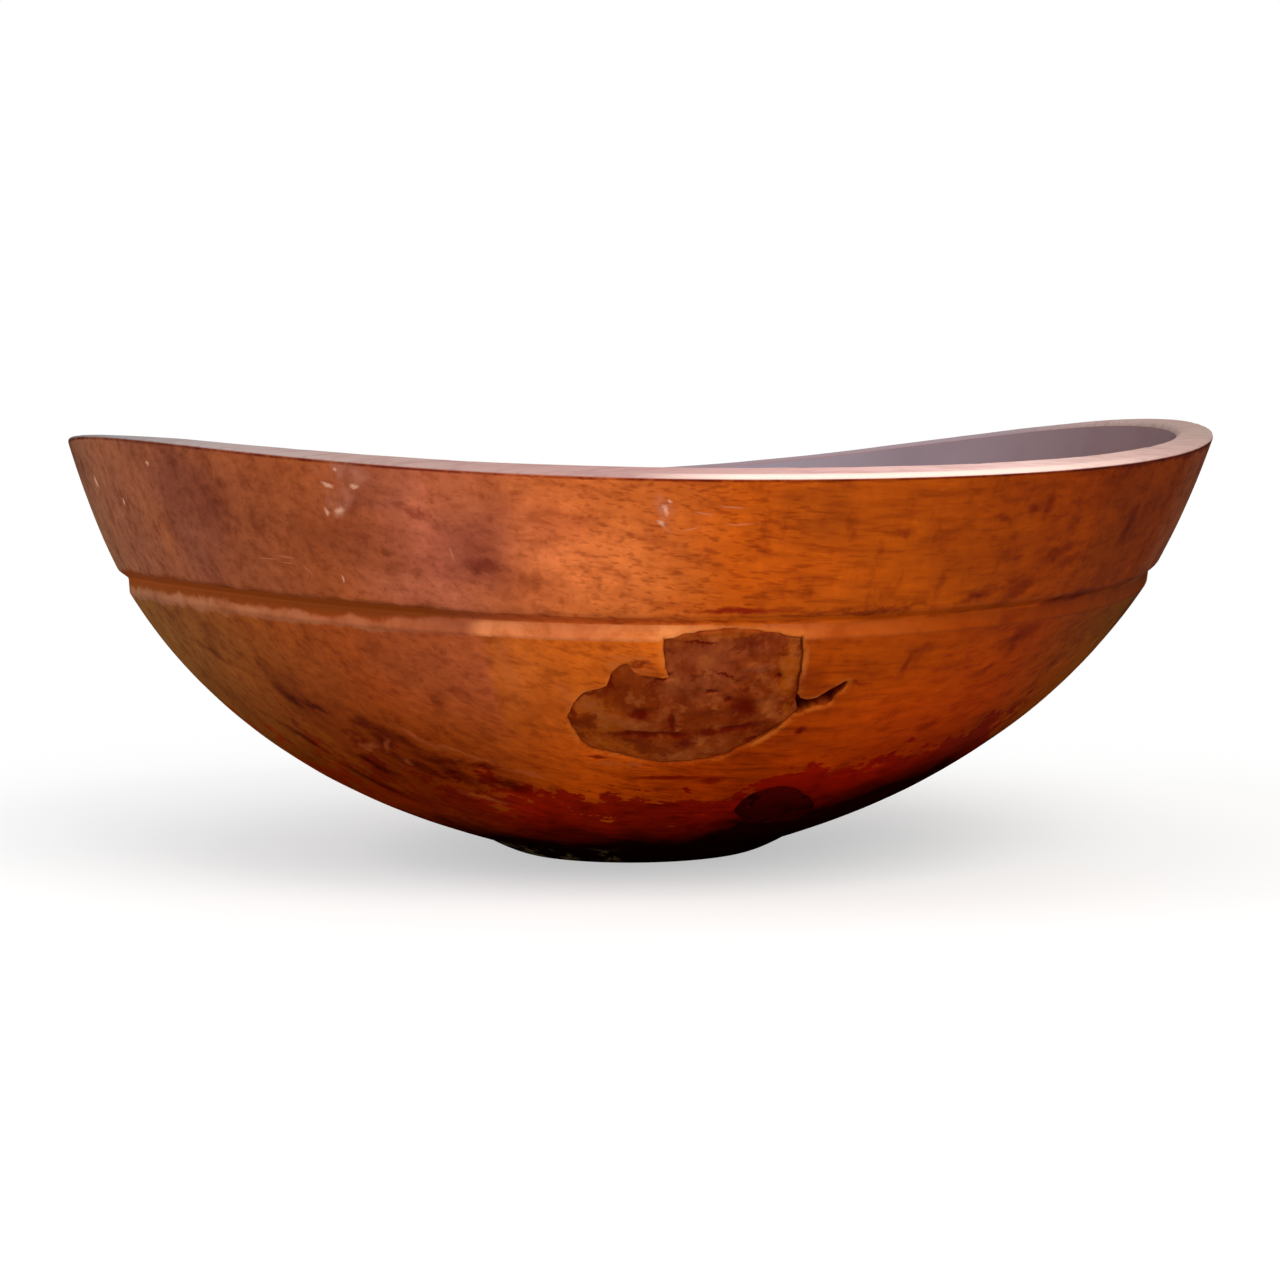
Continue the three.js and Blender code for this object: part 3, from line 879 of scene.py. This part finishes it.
    # Scuffs, chips and scratches on the front, and dust on the foot
    scuffed = times(drawn(rough_sheet, scuffs, 0.6), part(figure["Mottle"], 0.4, 0.6))
    wood = over(scuffed, wood, seen(206, 138, 116), 0.4)
    wood = over(drawn(rough_sheet, pale_chips, 0.8), wood, seen(226, 168, 138), 0.75)
    wood = over(drawn(sheet, scratches, 0.7), wood, seen(206, 128, 96), 0.5)
    dust = times(part(height, 0.009, 0.004), part(figure["Grime"], 0.5, 0.56), part(side, 0.0, -0.14))
    wood = over(dust, wood, seen(176, 150, 100), 0.6)

    rubbed = times(part(front, 0.2, 0.8, 0.0, 0.08), part(height, 0.04, 0.1), part(pocket, 0.6, 0.0))
    relief = plus(times(figure["Pores"], -0.3), figure["Grime"])
    feed(tree, shader, {
        "Base Color": wood, "Roughness": part(figure["Grime"], 0.35, 0.7, 0.4, 0.6),
        "Specular IOR Level": 0.0, "Coat Weight": rubbed, "Coat Roughness": 0.38,
        "Normal": bumps(tree, relief, strength=0.2, distance=0.0004),
    })
    return made


turned_bowl.data.materials.append(bowl_wood())
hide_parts("turned_bowl")
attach(turned_bowl, "root")


# The large knot
# A dead knot under the fillet: dark, lumpy wood that isn't grown together with the wood round it.
# It is held by its pocket, a little below the bowl's surface, with a split running off its right side.

# How each knot is made: the gap round it, how its rings crowd a little towards its edge, where its edge
# starts to round over and how far, and the step at which the rings come back under it
knot_gap = 0.0001
ring_crowding = 0.9
rounding_start = 0.97
rounding_depth = 0.0003
under_ring_step = 8

# The large knot's depth at its right, and how far its lower left rises from that and over what width
large_knot_sink = 0.0010
large_knot_rise = 0.0008
large_knot_rise_width = 0.014
large_knot_rise_tilt = 0.4
large_knot_rings = 110
large_knot_waves = [(0.0004, 0.009, 21), (0.00022, 0.0035, 22), (0.0001, 0.0016, 23)]


def body_depth(points, curve_points=400, run_on=0.05):
    """How deep points lie under the dried body, measured square to its slope. The body's curve runs on
    straight past the fillet."""
    turned = turned_from_dried(points)
    curve = body_curve(np.linspace(0, 1, curve_points))
    curve = np.concatenate([curve, curve[-1:] + run_on * along(body_slope_at_fillet)])
    slope = np.gradient(curve[:, 1], curve[:, 0])
    radius = np.hypot(turned[..., 0], turned[..., 1])
    below = turned[..., 2] - np.interp(radius, curve[:, 0], curve[:, 1])
    return below / np.hypot(1, np.interp(radius, curve[:, 0], slope))


def on_knot_face(knot, flat, depth, rounds=12):
    """The points under flat places of a knot's face that lie a given depth under the body, found by
    stepping along the face's normal until the depth is right."""
    middle, axes = knot_face(knot)
    out = np.zeros(flat.shape[:-1])
    for _ in range(rounds):
        points = middle + flat @ axes[:2] + out[..., None] * axes[2]
        out += body_depth(points) - depth
    return middle + flat @ axes[:2] + out[..., None] * axes[2]


def knot_piece(name, knot, loop, rings, sink_at):
    """A plug of knot wood: its outline, which runs anticlockwise, shrunk towards its middle in rings,
    over the top with the sink that sink_at gives for each flat place, down its side and back under."""
    middle = loop.mean(axis=0)
    outer = np.roll(loop, -1, axis=0) - np.roll(loop, 1, axis=0)
    outer = np.stack([outer[:, 1], -outer[:, 0]], -1) / np.linalg.norm(outer, axis=-1, keepdims=True)
    edge = loop - knot_gap * outer
    share = np.linspace(0, 1, rings + 1)[1:, None, None] ** ring_crowding
    top = middle + share * (edge - middle)
    rounded = rounding_depth * np.clip((share[..., 0] - rounding_start) / (1 - rounding_start), 0, 1) ** 2
    base = pocket_depth - knot_gap
    under = top[::-under_ring_step]
    flat = np.concatenate([top, under])[:, ::-1]
    depth = np.concatenate([sink_at(top) + rounded, np.full(under.shape[:-1], base)])[:, ::-1]
    ends = on_knot_face(knot, np.stack([middle, middle]), np.array([sink_at(middle[None])[0], base]))
    piece = closed_piece(name, ends[0], on_knot_face(knot, flat, depth), ends[1])
    paint_points(piece, "face", np.stack([flat[..., 0], 0 * depth, flat[..., 1]], axis=-1))
    return piece


def hollows(flat, marks):
    """Rounded hollows given as (across, up, half width, half height, depth) in mm: each is its depth
    times a bell curve of the distance, and a depth below zero is a bump."""
    total = np.zeros(flat.shape[:-1])
    for across, up, half_width, half_height, depth in mm * np.array(marks):
        place = (flat - [across, up]) / [half_width, half_height]
        total += depth * np.exp(-(place**2).sum(-1))
    return total


# Slits, cracks and lumps on the large knot's face
large_knot_hollows = [
    (8.4, 4.8, 2.4, 0.8, 1.1), (14.3, 0.6, 1.6, 1.4, 0.9), (29.7, 8.8, 1.2, 1.0, 0.9),
    (-3.2, -9.2, 0.9, 4.2, 0.9), (-14.2, -4.2, 3.4, 2.4, 0.8), (-13, -15, 9.5, 1.3, 1.0),
    (-1, -16, 3.5, 1.4, 0.8), (17, -14, 8, 1.4, 0.9), (20, -4, 4.5, 4, 0.5), (-7.2, 11.2, 3.2, 0.9, 0.7),
    (24.6, -20.6, 3.6, 0.8, 0.7), (2, 12, 6, 4, -0.4), (4, -4, 6, 3, -0.5), (-21, -4, 6, 5, -0.4),
    (22, 14, 5, 1.6, -0.4), (-33, -10, 2.2, 7, -0.4),
]


def waves_on(flat, waves):
    """The sum of lumps on a knot's face."""
    return waves_of(np.concatenate([flat, np.zeros((*flat.shape[:-1], 1))], axis=-1), waves)


def large_knot_sink_at(flat):
    """The large knot's surface: nearly level with the bowl at its lower left and a millimetre deep at
    its right, with shallow lumps over its whole face, and its slits and hollows."""
    to_lower_left = -flat[..., 0] - large_knot_rise_tilt * flat[..., 1]
    sink = large_knot_sink - large_knot_rise * eased(to_lower_left, 0.0, large_knot_rise_width)
    return sink + waves_on(flat, large_knot_waves) + hollows(flat, large_knot_hollows)


large_knot_loop = smooth_loop(large_knot_edge, steps=12)[::-1]
large_knot_piece = knot_piece(
    "large_dead_knot", large_knot, large_knot_loop, large_knot_rings, large_knot_sink_at
)

# Spots of colour on the large knot's face, as (across, up, half width, half height, tilt) in mm and
# degrees
tan_parts = [(-30, -8, 9, 12, 10), (33, 10, 2.4, 20, 0), (-20, -23, 14, 3, -6), (8, 27.6, 20, 1.2, 0)]
mauve_parts = [(4, 14, 14, 13, 0), (22, 13.4, 5.6, 1.6, 4), (20, 23, 10, 4, 0)]
dark_red_parts = [
    (8.4, 4.6, 2.4, 0.8, 4), (14.3, 0.4, 1.3, 1.6, 30), (29.7, 8.8, 1.2, 0.9, 0),
    (-3.1, -9.4, 0.8, 4.6, 4), (-14, -5, 3.4, 2.6, 20), (-13, -15, 9, 1.5, 0),
    (-1, -16, 3.4, 1.8, -20), (18, -14, 8, 1.6, 12), (20, -4, 4.6, 5.0, 0), (-8, 11.4, 3.6, 0.8, 24),
    (24.4, -20.8, 4, 0.9, 8), (2, -20, 3, 3.6, 10), (9, -15.5, 5, 1.6, 0), (12, 12, 5, 0.5, -30),
    (3.4, 25, 5, 0.6, 0),
]
# Painted shade along the knot's left edge, where the gap to its pocket is
gap_shade_edge = [(-36, -3, 1.2, 6, 10), (-30, 4, 5, 1.0, 30), (-24.4, 8.4, 1.2, 3, 0)]


def flecked(tree, figure, wood, layers):
    """Colours laid over the wood where its figure runs from low to high, as (figure, low, high, share,
    red, green, blue)."""
    for name, low, high, share, *colour in layers:
        wood = mixed(tree, ranged(tree, figure[name], low, high, 0.0, share), wood, seen(*colour))
    return wood


def large_knot_wood():
    """Dead knot wood: mid-brown, greyer above and tan along its edges, mottled, dark red in its slits, and
    with painted shade along its left edge, where it meets its pocket."""
    made, tree, shader = new_material("large_knot_wood")
    place, figure = figure_of(tree, 0.37)
    face, _ = vector_of(tree, "face")
    rough_face = ragged(tree, place, face, size=0.006, amount=0.007, roughness=0.7)
    soft_face = ragged(tree, place, face, size=0.012, amount=0.012)
    wood = mixed(tree, ranged(tree, figure["Clouds"], 0.4, 0.6), seen(146, 62, 16), seen(132, 48, 8))
    wood = mixed(tree, spots(tree, soft_face, tan_parts, 0.5), wood, seen(164, 74, 12))
    wood = mixed(tree, spots(tree, soft_face, mauve_parts, 0.6), wood, seen(148, 66, 32))
    wood = flecked(tree, figure, wood, [
        ("Mottle", 0.5, 0.64, 0.7, 112, 34, 4), ("Mottle", 0.48, 0.34, 0.6, 172, 88, 40),
        ("Grime", 0.54, 0.62, 0.65, 100, 24, 2), ("Grime", 0.44, 0.36, 0.5, 178, 92, 40),
    ])
    dark_red = product(tree, spots(tree, rough_face, dark_red_parts, 0.6), 0.85)
    wood = mixed(tree, dark_red, wood, seen(96, 10, 1))
    gap_shade = product(tree, spots(tree, rough_face, gap_shade_edge, 0.5), 0.8)
    wood = mixed(tree, gap_shade, wood, seen(110, 20, 2))
    relief = sums(tree, "ADD", product(tree, figure["Flecks"], 0.5), figure["Grime"])
    feed(tree, shader, {
        "Base Color": wood, "Roughness": 0.6, "Specular IOR Level": 0.01,
        "Normal": bumps(tree, relief, strength=0.35, distance=0.0006),
    })
    return made


large_knot_piece.data.materials.append(large_knot_wood())
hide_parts("large_knot")
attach(large_knot_piece, "root")


# The small knot
# A smaller dead knot lower down on the right, dark wood painted nearly black with painted shade. It is held
# in a pocket of its own, as the large knot is.

small_knot_sink = 0.0008
small_knot_rings = 60
small_knot_waves = [(0.0004, 0.007, 31)]


def small_knot_sink_at(flat):
    """The small knot's surface: shallow lumps over its whole face."""
    return small_knot_sink + waves_on(flat, small_knot_waves)


small_knot_loop = smooth_loop(small_knot_edge, steps=24)
small_knot_piece = knot_piece(
    "small_dead_knot", small_knot, small_knot_loop, small_knot_rings, small_knot_sink_at
)


def small_knot_wood():
    """Dark knot wood painted nearly black with painted shade, a little redder above, where the light
    reaches it.
    """
    made, tree, shader = new_material("small_knot_wood")
    _, figure = figure_of(tree, 0.71)
    _, (_, _, up) = vector_of(tree, "face")
    wood = mixed(tree, ranged(tree, up, -0.004, 0.014), seen(60, 3, 2), seen(84, 8, 5))
    wood = flecked(tree, figure, wood, [
        ("Mottle", 0.5, 0.62, 0.7, 24, 0, 0), ("Grime", 0.62, 0.68, 0.6, 96, 22, 14),
    ])
    feed(tree, shader, {
        "Base Color": wood, "Roughness": 0.6, "Specular IOR Level": 0.0,
        "Normal": bumps(tree, figure["Grime"], strength=0.3, distance=0.0005),
    })
    return made


small_knot_piece.data.materials.append(small_knot_wood())
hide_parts("small_knot")
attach(small_knot_piece, "root")


# The table and the backdrop
# A plain pale floor that runs out of sight, and fades to white away from the bowl's shadow.
# It is no part of the bowl.

floor_half_width = 12.0
floor_seen = (0.88, 0.88, 0.88, 1)
floor_bounce = (0.42, 0.41, 0.4, 1)
floor_fade_start = 0.16
floor_fade_end = 0.56
floor_glow = 0.5


def own_rays(tree):
    """1 for the camera's rays and for what gloss and glass show, and 0 for the light that bounces."""
    rays = node(tree, "ShaderNodeLightPath").outputs
    sharp = sums(tree, "MAXIMUM", rays["Is Glossy Ray"], rays["Is Transmission Ray"])
    return sums(tree, "MAXIMUM", rays["Is Camera Ray"], sharp)


def pale_floor():
    """A square floor at the foot's height, whose own colour gives way to white with the distance."""
    corners = floor_half_width * np.array([[-1, -1, 0], [1, -1, 0], [1, 1, 0], [-1, 1, 0]])
    mesh = bpy.data.meshes.new("floor")
    mesh.from_pydata(corners.tolist(), [], [[0, 1, 2, 3]])
    made, tree, shader = new_material("pale_floor")
    rays = own_rays(tree)
    colour = mixed(tree, rays, floor_bounce, floor_seen)
    feed(tree, shader, {"Base Color": colour, "Roughness": 0.9, "Specular IOR Level": 0.0})
    place = node(tree, "ShaderNodeTexCoord").outputs["Object"]
    distance = vector_sums(tree, "LENGTH", place)["Value"]
    faded = ranged(tree, distance, floor_fade_start, floor_fade_end, floor_glow, 1.0)
    white = node(tree, "ShaderNodeEmission", {"Color": (1, 1, 1, 1), "Strength": 1.0})
    inputs = {0: product(tree, rays, faded), 1: shader.outputs[0], 2: white.outputs[0]}
    whole = node(tree, "ShaderNodeMixShader", inputs)
    tree.links.new(whole.outputs[0], tree.nodes["surface"].inputs["Surface"])
    mesh.materials.append(made)
    return placed("floor", mesh)


pale_floor()


# The light
# A large soft key in front on the right, a cool window on the left, and an even white surround,
# as in a plain studio. They are kept at a level at which colours look as they are written.

surround_strength = 0.7
light_aim_height = 0.08


def surround():
    """An even white light from all round, which looks pure white itself."""
    world = bpy.data.worlds.new("surround")
    bpy.context.scene.world = world
    world.use_nodes = True
    tree = world.node_tree
    tree.nodes.clear()
    strength = ranged(tree, own_rays(tree), 0.0, 1.0, surround_strength, 1.0)
    light = node(tree, "ShaderNodeBackground", {"Color": (1, 1, 1, 1), "Strength": strength})
    node(tree, "ShaderNodeOutputWorld", {"Surface": light.outputs[0]})


def soft_light(name, turn, elevation, distance, width, power, colour):
    """A square area light, a turn to the right of the camera and an elevation above the table, that
    faces the middle of the bowl."""
    lamp = bpy.data.lights.new(name, "AREA")
    lamp.shape = "SQUARE"
    lamp.size = width
    lamp.energy = power
    lamp.color = colour
    light = placed(name, lamp)
    angle = front_angle + turn
    back = np.array([cos(angle) * cos(elevation), sin(angle) * cos(elevation), sin(elevation)])
    light.location = distance * back + [0, 0, light_aim_height]
    light.rotation_mode = "QUATERNION"
    light.rotation_quaternion = Vector(-back).to_track_quat("-Z", "Y")


surround()
soft_light(
    "key", turn=radians(28), elevation=radians(38), distance=1.7, width=1.1, power=24.0,
    colour=(1, 0.96, 0.9),
)
soft_light(
    "window", turn=radians(-75), elevation=radians(30), distance=1.8, width=1.0, power=13.0,
    colour=(0.9, 0.95, 1),
)


# The camera
# It stands to the left of the knots, a little below the rim's level, so that only a sliver of the
# inside shows at the right.

camera_distance = 0.95
camera_elevation = 0.0583
camera_aim_height = 0.0798
camera_aim_right = -0.00329
camera_lens = 69.93
camera_sensor = 36


def photo_camera():
    """The camera, which faces a point a little off the bowl's axis from the distance and elevation."""
    camera = placed("camera", bpy.data.cameras.new("camera"))
    bpy.context.scene.camera = camera
    camera.data.lens = camera_lens
    camera.data.sensor_width = camera_sensor
    level = np.array([cos(front_angle), sin(front_angle), 0])
    back = Vector((*(cos(camera_elevation) * level[:2]), sin(camera_elevation)))
    right = Vector((-level[1], level[0], 0))
    camera.location = Vector((0, 0, camera_aim_height)) + camera_aim_right * right + camera_distance * back
    camera.rotation_mode = "QUATERNION"
    camera.rotation_quaternion = (-back).to_track_quat("-Z", "Y")


photo_camera()
bpy.context.scene.view_settings.view_transform = "Standard"
